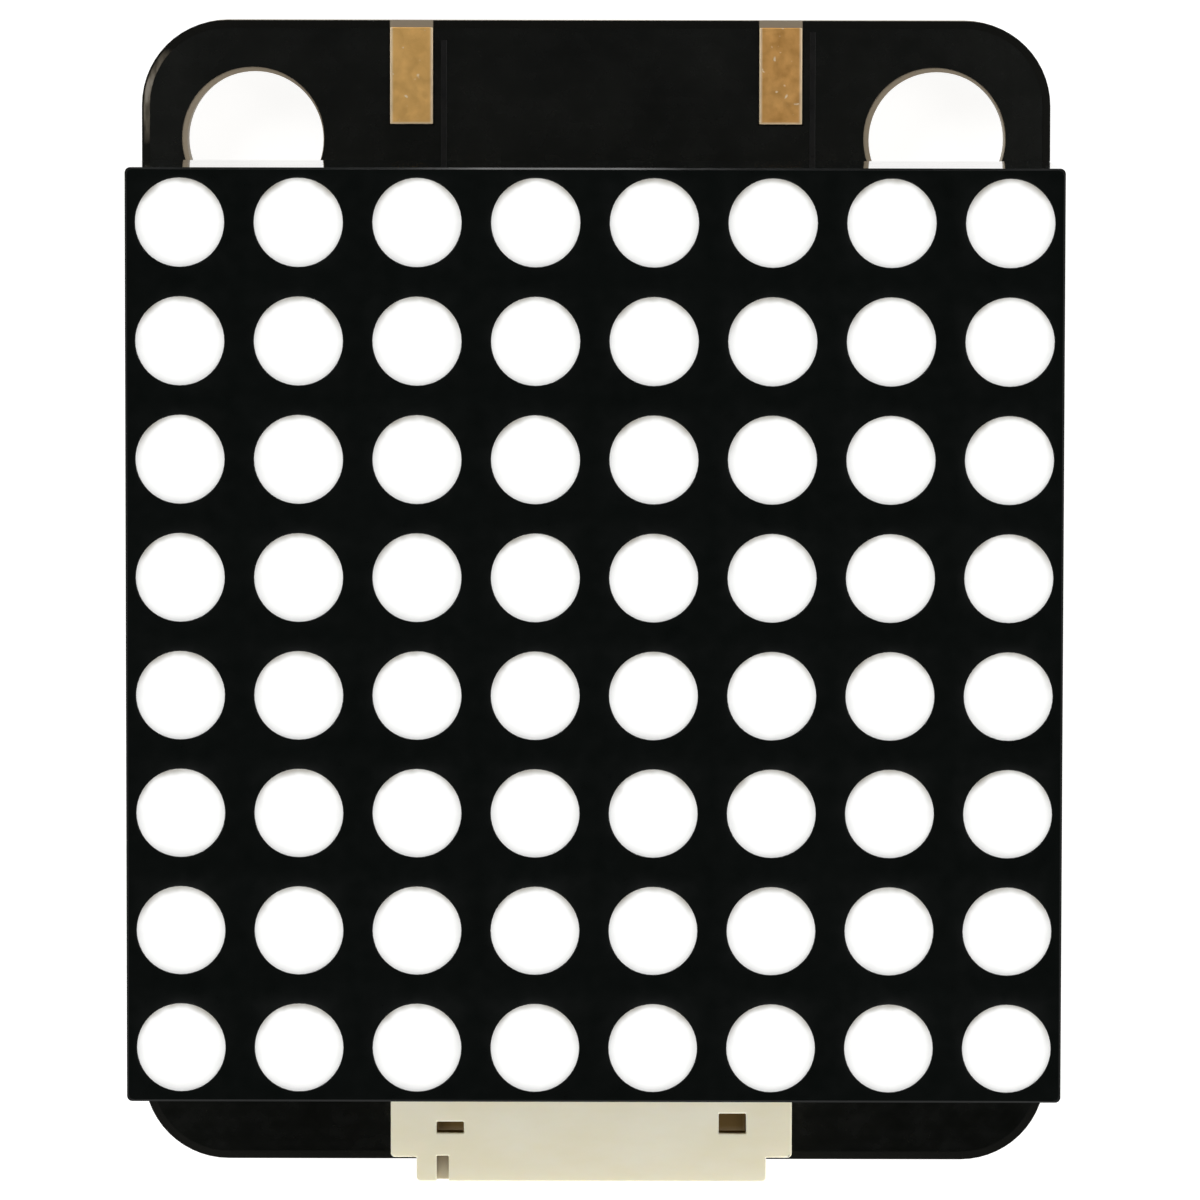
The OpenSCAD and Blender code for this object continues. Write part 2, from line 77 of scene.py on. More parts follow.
# Board
BOARD_LO, BOARD_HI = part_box("carrier_board")
BOARD_MID_Z = (BOARD_LO.z + BOARD_HI.z) / 2
CORNER_R = 3 * MM
MOUNT_R = 2.4 * MM
MOUNT_X = 12 * MM
MOUNT_Y = BOARD_HI.y - 4.2 * MM
MASK_T = 0.025 * MM       # thickness of the solder mask
MASK_INSET = 0.28 * MM    # how far the mask stays back from the board's outline
MASK_MOUNT_R = 2.51 * MM  # radius of the mask's openings at the mounting holes
MASK_SHIFT = (-0.08 * MM, 0.05 * MM)    # how far these openings lie off their holes
MASK_GAP = 0.05 * MM      # bare gap round a land
LAND_SINK = 0.004 * MM    # how far a land lies below the mask's surface
LAND_CORNER = 0.06 * MM
TRACK_RISE = 0.02 * MM    # how far a track lifts the mask over it
TRACK_SINK = 0.01 * MM    # how far a track reaches into the mask
VIA_R = 0.34 * MM
CUT_DEPTH = 4 * MM        # length of a cutter, more than the board's thickness
PAD_LO, PAD_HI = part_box("edge_pad_right")
PAD_HALF = (PAD_HI.x - PAD_LO.x) / 2

# Pins and leads
PINS = 8
PIN_PITCH = 2.54 * MM
PIN_X = 12 * MM
PIN_HOLE_R = 0.45 * MM
RING_R = 0.85 * MM
CHIP_LEADS = 14
LEAD_PITCH = 1.27 * MM
CONTACTS = 4
CONTACT_PITCH = 2 * MM
RESISTOR_X = 1.5 * MM     # from the middle of the pair of resistors to each of them

# Header
CAVITY_HALF = 5.4 * MM
FLOOR_T = 0.7 * MM

# Lands: width and length
CHIP_LAND = (0.6 * MM, 1.6 * MM)
FOOT_LAND = (1 * MM, 2.2 * MM)
TAB_LAND = (1.6 * MM, 2.1 * MM)

# Pairs of lands under small parts: distance from the part's middle, width and length
SMALL_PAIR = (0.75 * MM, 0.7 * MM, 0.95 * MM)
BULK_PAIR = (1.65 * MM, 1.3 * MM, 2.4 * MM)

# Ramps of solder: width, length and height
LEAD_SOLDER = (0.5 * MM, 0.42 * MM, 0.17 * MM)
FOOT_SOLDER = (0.7 * MM, 0.3 * MM, 0.34 * MM)
TAB_SOLDER = (1.9 * MM, 0.42 * MM, 0.24 * MM)
SMALL_SOLDER = (0.86 * MM, 0.3 * MM, 0.34 * MM)
BYPASS_SOLDER = (0.86 * MM, 0.3 * MM, 0.5 * MM)
BULK_SOLDER = (2.2 * MM, 0.3 * MM, 0.5 * MM)


# ---- Working by hand: selecting and editing ----

def put_down():
    """Leaves edit mode and selects nothing."""
    if bpy.context.object and bpy.context.object.mode != "OBJECT":
        bpy.ops.object.mode_set(mode="OBJECT")
    bpy.ops.object.select_all(action="DESELECT")


def take(*pieces):
    """Selects these pieces alone; the last one is the active one."""
    put_down()
    for piece in pieces:
        piece.select_set(True)
    bpy.context.view_layer.objects.active = pieces[-1]


def pick(kind, test):
    """In edit mode, selects the points, edges or faces that pass the test."""
    bpy.ops.mesh.select_mode(type={"verts": "VERT", "edges": "EDGE", "faces": "FACE"}[kind])
    bpy.ops.mesh.select_all(action="DESELECT")
    piece = bpy.context.object
    mesh = bmesh.from_edit_mesh(piece.data)
    for item in getattr(mesh, kind):
        if test(item):
            item.select_set(True)
    mesh.select_flush_mode()
    bmesh.update_edit_mesh(piece.data)


def near(a, b, gap=NEAR):
    return abs(a - b) < gap


def middle(edge):
    return (edge.verts[0].co + edge.verts[1].co) / 2


def level(edge, z):
    """Whether an edge lies at height z."""
    return near(edge.verts[0].co.z, z) and near(edge.verts[1].co.z, z)


def extrude(move):
    bpy.ops.mesh.extrude_region_move(TRANSFORM_OT_translate={"value": move})


def scale(factors, centre):
    bpy.ops.transform.resize(value=factors, center_override=centre)


def apply_modifiers(piece):
    take(piece)
    for modifier in list(piece.modifiers):
        bpy.ops.object.modifier_apply(modifier=modifier.name)


def copied(piece, move=(0, 0, 0)):
    """A copy of a piece, with its own mesh, moved."""
    copy = piece.copy()
    copy.data = piece.data.copy()
    copy.location = piece.location + Vector(move)
    bpy.context.collection.objects.link(copy)
    return copy


def joined(pieces, name):
    """One piece made of several, with its place in its mesh."""
    take(*pieces)
    if len(pieces) > 1:
        bpy.ops.object.join()
    piece = bpy.context.object
    piece.name = name
    bpy.ops.object.transform_apply(location=True, rotation=True, scale=True)
    return piece


def finish(piece, name, finish_of, smooth=30):
    """Names a piece, gives it its finish and fixes it to the module."""
    take(piece)
    bpy.ops.object.transform_apply(location=True, rotation=True, scale=True)
    bpy.ops.object.shade_smooth_by_angle(angle=math.radians(smooth))
    even = piece.modifiers.new("even", "WEIGHTED_NORMAL")
    even.keep_sharp = True
    apply_modifiers(piece)
    piece.name = name
    piece.data.name = name
    piece.data.materials.clear()
    piece.data.materials.append(finish_of)
    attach(piece, "root")
    return piece


# ---- Finishes ----

class Finish:
    """A material under construction: its nodes, and its shader's own sockets."""

    def __init__(self, name, **settings):
        self.material = bpy.data.materials.new(name)
        self.material.use_nodes = True
        self.tree = self.material.node_tree
        self.shader = self.tree.nodes["Principled BSDF"]
        for socket, value in settings.items():
            self.shader.inputs[socket.replace("_", " ")].default_value = value
        self.place = self.add("ShaderNodeVectorMath", {"operation": "SCALE"},
            Vector=self.add("ShaderNodeTexCoord").outputs["Object"], Scale=1 / MM).outputs[0]

    def add(self, kind, settings=None, **inputs):
        """Adds a node; an input is a value or the output that feeds it."""
        made = self.tree.nodes.new(kind)
        for key, value in (settings or {}).items():
            setattr(made, key, value)
        for key, value in inputs.items():
            key = int(key[1:]) if key[0] == "_" else key.replace("_", " ")
            if isinstance(value, bpy.types.NodeSocket):
                self.tree.links.new(value, made.inputs[key])
            else:
                made.inputs[key].default_value = value
        return made

    def feed(self, output, socket):
        self.tree.links.new(output, self.shader.inputs[socket])

    def vector(self, operation, *inputs):
        """Result of a vector operation; a length or a distance comes out as a number."""
        made = self.add("ShaderNodeVectorMath", {"operation": operation},
            **{f"_{i}": value for i, value in enumerate(inputs)})
        return made.outputs["Value" if operation in ("LENGTH", "DISTANCE") else "Vector"]

    def number(self, operation, a, b=0.5):
        return self.add("ShaderNodeMath", {"operation": operation}, _0=a, _1=b).outputs[0]

    def product(self, *values):
        """All these numbers multiplied together."""
        result = values[0]
        for value in values[1:]:
            result = self.number("MULTIPLY", result, value)
        return result

    def noise(self, size, detail=3, rough=0.5, stretch=None):
        """Cloudy pattern with spots of about this size in millimetres, from 0 to 1."""
        place = self.vector("MULTIPLY", self.place, stretch) if stretch else self.place
        return self.add("ShaderNodeTexNoise", Vector=place, Scale=1 / size, Detail=detail,
            Roughness=rough).outputs[0]

    def clouds(self, size, low=0.0, high=1.0, **shape):
        """The same pattern with its usual values, 0.3 to 0.7, carried to this range."""
        return self.span(self.noise(size, **shape), 0.3, 0.7, low, high)

    def span(self, value, low, high, to_low=0.0, to_high=1.0, smooth=False):
        """Carries a value from one range to another."""
        kind = {"interpolation_type": "SMOOTHSTEP" if smooth else "LINEAR"}
        return self.add("ShaderNodeMapRange", kind, Value=value, From_Min=low, From_Max=high,
            To_Min=to_low, To_Max=to_high).outputs[0]

    def blend(self, amount, low, high):
        """Colour between two colours, by amount."""
        made = self.add("ShaderNodeMix", {"data_type": "RGBA"}, _0=amount)
        for slot, value in ((6, low), (7, high)):
            if isinstance(value, bpy.types.NodeSocket):
                self.tree.links.new(value, made.inputs[slot])
            else:
                made.inputs[slot].default_value = (*value, 1)
        return made.outputs[2]

    def mixed(self, amount, low, high):
        """Number between two numbers, by amount."""
        return self.add("ShaderNodeMix", _0=amount, _2=low, _3=high).outputs[0]

    def bump(self, height, depth):
        """Relief of this depth in millimetres."""
        made = self.add("ShaderNodeBump", Height=height, Distance=depth * MM, Strength=1.0)
        self.feed(made.outputs[0], "Normal")

    def weave(self, pitch=0.45):
        """Crossed threads of glass cloth, as a height from 0 to 1."""
        threads = [self.add("ShaderNodeTexWave",
            {"wave_type": "BANDS", "wave_profile": "SIN", "bands_direction": way}, Vector=self.place,
            Scale=math.pi / 10 / pitch, Distortion=0.6, Detail=1).outputs["Fac"] for way in "XY"]
        return self.product(*threads)

    def hole_reach(self):
        """Distance in millimetres from the middle of the nearer mounting hole."""
        flat = self.vector("MULTIPLY", self.vector("ABSOLUTE", self.place), (1, 1, 0))
        return self.vector("DISTANCE", flat, (MOUNT_X / MM, MOUNT_Y / MM, 0))

    def pad_reach(self):
        """Distance in millimetres across from the middle line of the nearer edge pad."""
        across = self.number("ABSOLUTE", self.axis("X"))
        return self.number("ABSOLUTE", self.number("SUBTRACT", across, (PAD_LO.x + PAD_HI.x) / 2 / MM))

    def edge_reach(self, half, corner):
        """Distance in millimetres inward from the outline of a centred slab with round corners."""
        straight = ((half.x - corner) / MM, (half.y - corner) / MM, 1e3)
        past = self.vector("SUBTRACT", self.vector("ABSOLUTE", self.place), straight)
        reach = self.vector("LENGTH", self.vector("MAXIMUM", past, (0, 0, 0)))
        return self.number("SUBTRACT", corner / MM, reach)

    def axis(self, letter, place=None):
        split = self.add("ShaderNodeSeparateXYZ", Vector=place or self.place)
        return split.outputs["XYZ".index(letter)]


def shell_black():
    """Black moulding: glossy side walls, and a satin face with a fine even grain."""
    f = Finish("shell_black", Specular_IOR_Level=0.1, Coat_Roughness=0.03)
    f.feed(f.blend(f.noise(3.5), (0.0015, 0.0021, 0.0018), (0.0024, 0.0031, 0.0028)), "Base Color")
    face_z = SHELL_HI.z / MM
    wall_z = (SHELL_HI.z - FACE_CHAMFER) / MM
    face = f.span(f.axis("Z"), face_z - 0.01, face_z - 0.005)
    polish = f.clouds(1.4, 0.05, 0.09)
    satin = f.clouds(0.6, 0.27, 0.35)
    f.feed(f.mixed(face, polish, satin), "Roughness")
    f.feed(f.span(f.axis("Z"), wall_z, wall_z - 0.02, 0.0, 0.6), "Coat Weight")
    f.bump(f.product(face, f.noise(0.07, detail=2)), 0.0012)
    return f.material


def milky_resin():
    """Cast resin of the dots: milky white, with painted shade greying the rim near the wall, and a painted
    shadow at the top of each dot.
    """
    f = Finish("milky_resin", Roughness=0.3, IOR=1.5, Specular_IOR_Level=0.4)
    half = DOT_PITCH / 2 / MM
    at = f.vector("SUBTRACT", f.place, (half, (SHELL_MID.y + DOT_PITCH / 2) / MM, 0))
    cell = f.vector("WRAP", at, (half, half, 1e3), (-half, -half, -1e3))
    reach = f.vector("LENGTH", f.vector("MULTIPLY", cell, (1, 1, 0)))
    uneven = f.number("ADD", reach, f.clouds(0.9, -0.06, 0.06, detail=2))
    # Painted shade: each dot's colour greys towards its wall.
    rim = f.span(uneven, 1.1, 1.55, smooth=True)
    milk_with_painted_rim_shade = f.blend(rim, (0.93, 0.93, 0.92), (0.76, 0.76, 0.75))
    # Painted shadow: the top side of each dot's rim is darkened further, as if shaded by the collar.
    top = f.span(f.number("DIVIDE", f.axis("Y", cell), reach), 0.0, 0.8, smooth=True)
    painted_top_shadow = f.product(top, f.span(uneven, 1.33, 1.52))
    f.feed(f.blend(painted_top_shadow, milk_with_painted_rim_shade, (0.38, 0.36, 0.32)), "Base Color")
    return f.material


def plain_finish(name, low, high, size, roughness, grain=None, **settings):
    """Finish with a cloudy colour, a range of roughness and, if given, a grain (size, depth)."""
    f = Finish(name, **settings)
    f.feed(f.blend(f.clouds(size), low, high), "Base Color")
    f.feed(f.clouds(size / 3, *roughness), "Roughness")
    if grain:
        f.bump(f.noise(grain[0], detail=2), grain[1])
    return f.material


def metal(name, low, high, roughness, grain):
    """Bare or tinned metal: cloudy colour, a range of roughness, and a grain (size, depth)."""
    f = Finish(name, Metallic=1.0)
    f.feed(f.blend(f.clouds(0.9, detail=4), low, high), "Base Color")
    f.feed(f.clouds(0.3, *roughness), "Roughness")
    f.bump(f.noise(grain[0], detail=3), grain[1])
    return f.material


def solder_mask():
    """Black solder mask: slightly glossy, with painted light making it a shade lighter towards the holes,
    and the weave just showing.
    """
    f = Finish("solder_mask", Specular_IOR_Level=0.3)
    # Painted light: the mask gets lighter towards the holes, as if lit more from that side.
    painted_light_to_holes = f.span(f.axis("Y"), -18, 16)
    low = f.blend(painted_light_to_holes, (0.0014, 0.0017, 0.0012), (0.0052, 0.0056, 0.0050))
    high = f.blend(painted_light_to_holes, (0.0026, 0.0029, 0.0022), (0.0086, 0.0090, 0.0080))
    f.feed(f.blend(f.clouds(2.6), low, high), "Base Color")
    f.feed(f.clouds(0.8, 0.22, 0.3), "Roughness")
    f.bump(f.weave(), 0.004)
    return f.material


def masked_copper():
    """The same mask where it runs over a track: a shade lighter, with a fine grain and no weave."""
    f = Finish("masked_copper", Specular_IOR_Level=0.4)
    f.feed(f.blend(f.clouds(1.2), (0.007, 0.007, 0.007), (0.0105, 0.010, 0.0095)), "Base Color")
    f.feed(f.clouds(0.5, 0.26, 0.36), "Roughness")
    f.bump(f.noise(0.12, detail=2), 0.0015)
    return f.material


def painted_edge_highlight(f):
    """Painted highlight in streaks on the left edge, beside the mounting hole, as a mask from 0 to 1."""
    along = f.product(f.span(f.axis("Y"), 15.8, 17.6), f.span(f.axis("Y"), 19.2, 18.0))
    streaks = f.span(f.noise(0.35, detail=4, rough=0.6, stretch=(2.2, 0.5, 1)), 0.38, 0.6, 0.35, 1.15)
    left = f.span(f.axis("X"), -14, -15)
    inward = f.span(f.edge_reach(BOARD_HI, CORNER_R), 0.05, 0.1)
    return f.product(along, streaks, left, inward)


def glass_laminate():
    """Tan glass laminate in fine layers; its top is smeared dark, but bare at the holes and pads, with a
    painted highlight in tan along the left edge.
    """
    f = Finish("glass_laminate", Specular_IOR_Level=0.35)
    layers = f.noise(1, detail=4, stretch=(0.5, 0.5, 9))
    flecks = f.noise(0.12, detail=2)
    tone = f.number("ADD", f.product(layers, 0.7), f.product(flecks, 0.3))
    fibre = f.blend(f.span(tone, 0.35, 0.65), (0.20, 0.17, 0.125), (0.36, 0.315, 0.245))
    # Painted highlight: a tan strip in streaks along the left edge.
    edge_highlight = painted_edge_highlight(f)
    near_hole = f.span(f.hole_reach(), MOUNT_R / MM + 0.3, MOUNT_R / MM + 0.25)
    pad_end = f.product(f.span(f.pad_reach(), PAD_HALF / MM + 0.02, PAD_HALF / MM),
        f.span(f.axis("Y"), PAD_LO.y / MM, PAD_LO.y / MM + 0.1))
    # Tan shows where the laminate is bare at the holes and pads, and where the painted highlight lies.
    bare = f.number("MAXIMUM", f.number("MAXIMUM", edge_highlight, near_hole), pad_end)
    tan = f.blend(edge_highlight, (0.25, 0.205, 0.145), (0.19, 0.17, 0.14))
    rim = f.blend(bare, (0.006, 0.006, 0.005), tan)
    top_z = (BOARD_HI.z - MASK_T) / MM
    on_top = f.span(f.axis("Z"), top_z - 0.03, top_z - 0.005)
    f.feed(f.blend(on_top, fibre, rim), "Base Color")
    smeared = f.product(on_top, f.number("SUBTRACT", 1.0, bare))
    f.feed(f.mixed(smeared, 0.7, 0.25), "Roughness")
    f.bump(tone, 0.01)
    return f.material


def gold_plate(name, pads=False):
    """Soft gold over copper: mottled, matt, with a few brighter specks; the edge pads have painted
    highlights on their rims, and painted light makes the left pad brighter.
    """
    f = Finish(name, Metallic=0.55, Specular_IOR_Level=0.4)
    gold = f.blend(f.clouds(0.7, detail=5, rough=0.6), (0.56, 0.28, 0.07), (0.75, 0.41, 0.13))
    specks_and_rim_highlight = f.span(f.noise(0.22, detail=1), 0.70, 0.76)
    pale = (0.95, 0.66, 0.30)
    if pads:
        # Painted highlight: pale rims along the sides and the foot of each edge pad, joined with the real
        # specks.
        side = f.span(f.pad_reach(), PAD_HALF / MM - 0.12, PAD_HALF / MM - 0.04)
        foot_highlight = f.span(f.axis("Y"), PAD_LO.y / MM + 0.1, PAD_LO.y / MM + 0.03)
        specks_and_rim_highlight = f.number("MAXIMUM", f.number("MAXIMUM", side, foot_highlight), specks_and_rim_highlight)
        # Painted light: the left pad is brighter than the right, as if lit from the left.
        painted_light_left = f.blend(0.55, gold, (0.88, 0.55, 0.18))
        gold = f.blend(f.span(f.axis("X"), -7.5, 7.5), painted_light_left, gold)
        pale = (0.88, 0.70, 0.46)
    f.feed(f.blend(specks_and_rim_highlight, gold, pale), "Base Color")
    f.feed(f.clouds(0.35, 0.42, 0.6), "Roughness")
    f.bump(f.noise(0.09, detail=3), 0.004)
    return f.material


def cavity_shade(f):
    """How deep a point lies in the header's cavity, from 0 outside it to 1."""
    lo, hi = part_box("header_shell")
    from_mid = f.number("ABSOLUTE", f.number("SUBTRACT", f.axis("X"), (lo.x + hi.x) / 2 / MM))
    across = f.span(from_mid, CAVITY_HALF / MM + 0.02, CAVITY_HALF / MM + 0.01)
    deep = f.span(f.axis("Y"), lo.y / MM, lo.y / MM + 1.3, 0.5, 1.0)
    before_back = f.span(f.axis("Y"), hi.y / MM - 0.9, hi.y / MM - 1)
    under_roof = f.span(f.axis("Z"), hi.z / MM - 0.09, hi.z / MM - 0.2)
    floor_z = (lo.z + FLOOR_T) / MM
    over_floor = f.span(f.axis("Z"), floor_z - 0.03, floor_z - 0.01)
    return f.product(across, deep, before_back, under_roof, over_floor)


def header_nylon():
    """Ivory nylon: cloudy where the melt ran, with a fine grain, and brown shade deep in the cavity."""
    f = Finish("header_nylon", Subsurface_Weight=0.2, Subsurface_Scale=1.0,
        Subsurface_Radius=(0.4 * MM, 0.33 * MM, 0.2 * MM), Specular_IOR_Level=0.4)
    flow = f.clouds(2.2, detail=4, rough=0.55, stretch=(0.6, 1.4, 1))
    ivory = f.blend(flow, (0.89, 0.825, 0.60), (0.94, 0.89, 0.715))
    f.feed(f.blend(cavity_shade(f), ivory, (0.115, 0.064, 0.006)), "Base Color")
    f.feed(f.clouds(0.8, 0.42, 0.55), "Roughness")
    f.bump(f.noise(0.06, detail=2), 0.002)
    return f.material


def chip_black():
    """Matt moulded epoxy of the chip: dark grey with glass filler showing as a grain."""
    f = Finish("chip_black", Specular_IOR_Level=0.4)
    f.feed(f.blend(f.clouds(1.8), (0.016, 0.016, 0.017), (0.024, 0.024, 0.026)), "Base Color")
    f.feed(f.clouds(0.4, 0.52, 0.66), "Roughness")
    f.bump(f.noise(0.05, detail=3), 0.004)
    return f.material


def tantalum_black():
    """Body of the bulk capacitor, with the pale bar that marks its positive end."""
    f = Finish("tantalum_black", Specular_IOR_Level=0.4)
    body = f.blend(f.clouds(1.2), (0.045, 0.038, 0.022), (0.065, 0.055, 0.034))
    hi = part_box("bulk_capacitor")[1]
    bar = f.product(f.span(f.axis("X"), hi.x / MM - 0.78, hi.x / MM - 0.74),
        f.span(f.axis("Z"), hi.z / MM - 0.06, hi.z / MM - 0.04))
    f.feed(f.blend(bar, body, (0.62, 0.60, 0.52)), "Base Color")
    f.feed(f.clouds(0.4, 0.45, 0.6), "Roughness")
    f.bump(f.noise(0.05, detail=3), 0.003)
    return f.material


def resistor_glaze():
    """Chip resistor: white alumina, with black glaze over its top."""
    f = Finish("resistor_glaze", Specular_IOR_Level=0.5)
    top_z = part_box("pull_up_resistors")[1].z / MM
    glaze = f.span(f.axis("Z"), top_z - 0.07, top_z - 0.05)
    alumina = f.blend(f.noise(0.3), (0.62, 0.61, 0.58), (0.72, 0.71, 0.68))
    f.feed(f.blend(glaze, alumina, (0.012, 0.013, 0.018)), "Base Color")
    f.feed(f.span(glaze, 0, 1, 0.6, 0.22), "Roughness")
    f.bump(f.noise(0.08), 0.002)
    return f.material


# ---- Display ----

def dot_cell():
    """One cell of the shell: a square of the face and of the pocket's ceiling, joined by a funnel."""
    at = Vector((SHELL_MID.x - OUTER_DOT, SHELL_MID.y - OUTER_DOT, SHELL_HI.z))
    depth = SHELL_HI.z - FUNNEL_FLOOR_Z

    def round_edge(e):
        return e.is_boundary and (middle(e) - at).xy.length < DOT_R + MERGE

    put_down()
    bpy.ops.mesh.primitive_grid_add(x_subdivisions=SIDE_STEPS, y_subdivisions=SIDE_STEPS,
        size=DOT_PITCH, location=at)
    cell = bpy.context.object
    bpy.ops.object.transform_apply(location=True)
    bpy.ops.object.mode_set(mode="EDIT")
    inside = DOT_PITCH / 2 - NEAR
    pick("verts", lambda v: abs(v.co.x - at.x) < inside and abs(v.co.y - at.y) < inside)
    bpy.ops.mesh.delete(type="VERT")
    bpy.ops.mesh.primitive_circle_add(vertices=ROUND_STEPS, radius=DOT_R, location=at)
    bpy.ops.mesh.select_all(action="SELECT")
    bpy.ops.mesh.bridge_edge_loops()
    bpy.ops.mesh.select_all(action="SELECT")
    bpy.ops.mesh.duplicate_move(TRANSFORM_OT_translate={"value": (0, 0, -depth)})
    bpy.ops.mesh.flip_normals()
    pick("verts", lambda v: near(v.co.z, FUNNEL_FLOOR_Z) and near((v.co - at).xy.length, DOT_R))
    scale((FUNNEL_R / DOT_R, FUNNEL_R / DOT_R, 1), at)
    pick("edges", lambda e: round_edge(e) and level(e, at.z))
    extrude((0, 0, -COLLAR))
    pick("edges", round_edge)
    bpy.ops.mesh.bridge_edge_loops()
    put_down()
    return cell


def repeat(piece, count, step):
    """Rows of a piece, merged where they meet."""
    array = piece.modifiers.new("row", "ARRAY")
    array.use_relative_offset = False
    array.use_constant_offset = True
    array.count = count
    array.constant_offset_displace = step
    array.use_merge_vertices = True
    array.merge_threshold = MERGE
    apply_modifiers(piece)


def display_shell():
    """Moulded shell: face with 64 collared funnels, side walls, skirt and rear pocket."""
    shell = dot_cell()
    repeat(shell, DOTS, (DOT_PITCH, 0, 0))
    repeat(shell, DOTS, (0, DOT_PITCH, 0))
    grid = DOTS * DOT_PITCH / 2
    half = (SHELL_HI.x - SHELL_LO.x) / 2
    take(shell)
    bpy.ops.object.mode_set(mode="EDIT")
    for z, reach in ((SHELL_HI.z, half), (FUNNEL_FLOOR_Z, POCKET_HALF)):
        pick("verts", lambda v: near(v.co.z, z) and near(abs(v.co.x - SHELL_MID.x), grid))
        scale((reach / grid, 1, 1), SHELL_MID)
        pick("verts", lambda v: near(v.co.z, z) and near(abs(v.co.y - SHELL_MID.y), grid))
        scale((1, reach / grid, 1), SHELL_MID)
    pick("edges", lambda e: e.is_boundary and level(e, SHELL_HI.z))
    extrude((0, 0, SHELL_LO.z - SHELL_HI.z))
    extrude((0, 0, 0))
    scale((POCKET_HALF / half, POCKET_HALF / half, 1), SHELL_MID)
    pick("edges", lambda e: e.is_boundary)
    bpy.ops.mesh.bridge_edge_loops()
    soften_shell(half)
    put_down()
    return finish(shell, "display_shell", shell_black())


def soften_shell(half):
    """Rounds the upright corners, chamfers the edge of the face and rounds the rims of the dots."""
    outer = half - SHELL_CORNER_R - 0.01 * MM

    def upright_corner(e):
        m = middle(e) - SHELL_MID
        upright = not near(e.verts[0].co.z, e.verts[1].co.z)
        return upright and near(abs(m.x), half) and near(abs(m.y), half)

    def face_meets_wall(e):
        return level(e, SHELL_HI.z) and sum(abs(f.normal.z) < 0.5 for f in e.link_faces) == 1

    def reach(e):
        m = middle(e) - SHELL_MID
        return max(abs(m.x), abs(m.y))

    pick("edges", upright_corner)
    bpy.ops.mesh.bevel(offset=SHELL_CORNER_R, segments=5, affect="EDGES")
    pick("edges", lambda e: face_meets_wall(e) and reach(e) > outer)
    bpy.ops.mesh.bevel(offset=FACE_CHAMFER, segments=1, affect="EDGES")
    pick("edges", lambda e: face_meets_wall(e) and reach(e) < outer)
    bpy.ops.mesh.bevel(offset=RIM_ROUND, segments=2, affect="EDGES")


def cast_dot():
    """One dot: resin that fills its funnel and creeps up the wall in a meniscus."""
    at = Vector((SHELL_MID.x - OUTER_DOT, SHELL_MID.y + OUTER_DOT, FUNNEL_FLOOR_Z))
    put_down()
    bpy.ops.mesh.primitive_circle_add(vertices=ROUND_STEPS, radius=FUNNEL_R, fill_type="NGON",
        location=at)
    dot = bpy.context.object
    bpy.ops.object.transform_apply(location=True)
    bpy.ops.object.mode_set(mode="EDIT")
    bpy.ops.mesh.select_all(action="SELECT")
    extrude((0, 0, SHELL_HI.z - COLLAR - FUNNEL_FLOOR_Z))
    scale((DOT_R / FUNNEL_R, DOT_R / FUNNEL_R, 1), at)
    extrude((0, 0, COLLAR - DOT_SINK))
    for width, drop in MENISCUS:
        bpy.ops.mesh.inset(thickness=width * MM, depth=-drop * MM)
    bpy.ops.mesh.poke()
    bpy.ops.mesh.select_all(action="SELECT")
    bpy.ops.mesh.normals_make_consistent(inside=False)
    put_down()
    return dot


def cast_dots():
    """Eight rows of eight dots."""
    first = cast_dot()
    row = joined([copied(first, (i * DOT_PITCH, 0, 0)) for i in range(DOTS)], "dots")
    resin = milky_resin()
    for r in range(DOTS):
        name = f"cast_row_{r + 1}"
        piece = joined([copied(row, (0, -r * DOT_PITCH, 0))], name)
        finish(piece, name, resin)
        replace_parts(piece, f"dot_row_{r + 1}")
    for spare in (first, row):
        bpy.data.objects.remove(spare)


# ---- Board ----

def board_slab(low, high, inset):
    """Slab in the board's outline, drawn in all round by inset."""
    put_down()
    size = BOARD_HI - BOARD_LO
    bpy.ops.mesh.primitive_cube_add(size=1, location=(0, 0, (low + high) / 2),
        scale=(size.x - 2 * inset, size.y - 2 * inset, high - low))
    slab = bpy.context.object
    bpy.ops.object.transform_apply(location=True, scale=True)
    bpy.ops.object.mode_set(mode="EDIT")
    pick("edges", lambda e: not near(e.verts[0].co.z, e.verts[1].co.z, MERGE))
    bpy.ops.mesh.bevel(offset=CORNER_R - inset, segments=14, affect="EDGES")
    put_down()
    return slab


def drill(x, y, radius, steps):
    """Cutter of one round hole through the board."""
    bpy.ops.mesh.primitive_cylinder_add(vertices=steps, radius=radius, depth=CUT_DEPTH,
        location=(x, y, BOARD_MID_Z))
    return bpy.context.object


def punch(x, y, width, length):
    """Cutter of one rectangular opening through a mask."""
    bpy.ops.mesh.primitive_cube_add(size=1, location=(x, y, BOARD_MID_Z),
        scale=(width, length, CUT_DEPTH))
    return bpy.context.object


def cut(piece, cutters):
    cutter = joined(cutters, "cutter")
    made = piece.modifiers.new("cut", "BOOLEAN")
    made.operation = "DIFFERENCE"
    made.solver = "EXACT"
    made.object = cutter
    apply_modifiers(piece)
    bpy.data.objects.remove(cutter)


def mount_drills(radius, shift=(0, 0)):
    return [drill(side * MOUNT_X + shift[0], MOUNT_Y + shift[1], radius, 72) for side in (-1, 1)]


def spaced(count, pitch):
    """Offsets of a row of things from the middle of the row."""
    return [(i - (count - 1) / 2) * pitch for i in range(count)]


def box_mid(node):
    lo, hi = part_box(node)
    return (lo + hi) / 2


def pin_places():
    """Middles of the sixteen pin holes."""
    return [(side * PIN_X, SHELL_MID.y + step) for side in (-1, 1) for step in spaced(PINS, PIN_PITCH)]


def resistor_mids():
    return [box_mid("pull_up_ends") + Vector((side * RESISTOR_X, 0, 0)) for side in (-1, 1)]


